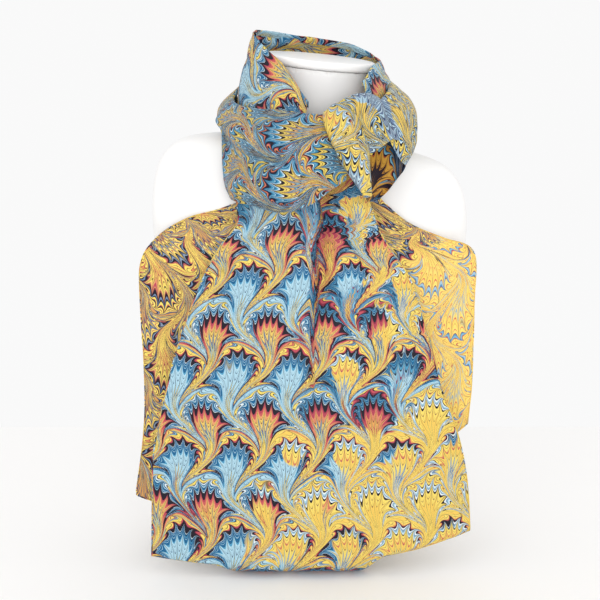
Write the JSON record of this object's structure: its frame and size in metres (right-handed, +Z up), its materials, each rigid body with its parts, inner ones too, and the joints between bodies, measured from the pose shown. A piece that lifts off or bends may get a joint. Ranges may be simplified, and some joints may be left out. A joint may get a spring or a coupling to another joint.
{
  "type": "silk scarf on a limbless display bust",
  "caption": "Marbled silk scarf folded in half, looped round the neck of a white display bust and pulled through its own fold, with two full-width tails hanging in front.",
  "frame": {"origin": "middle of the part's box, on the surface that the bust stands on", "axes": "+Z up the bust, -Y to the front with the tails, +X to the viewer's right with the knot"},
  "size_m": [0.3734, 0.246, 0.58],
  "materials": {
    "silk": "marbled silk twill in yellow, blue, pale blue, coral and near-black, soft sheen",
    "bust": "smooth white, satin matt",
    "cap": "smooth white, satin"
  },
  "bodies": {
    "root": {"display_bust": "bust", "neck_cap": "cap", "neck_back_band": "silk", "left_collar": "silk", "right_collar": "silk", "cross_wrap": "silk", "knot_flap": "silk", "knot_middle_puff": "silk", "knot_right_puff": "silk", "knot_inner_wall": "silk", "front_tail": "silk", "under_tail": "silk"}
  },
  "joints": []
}
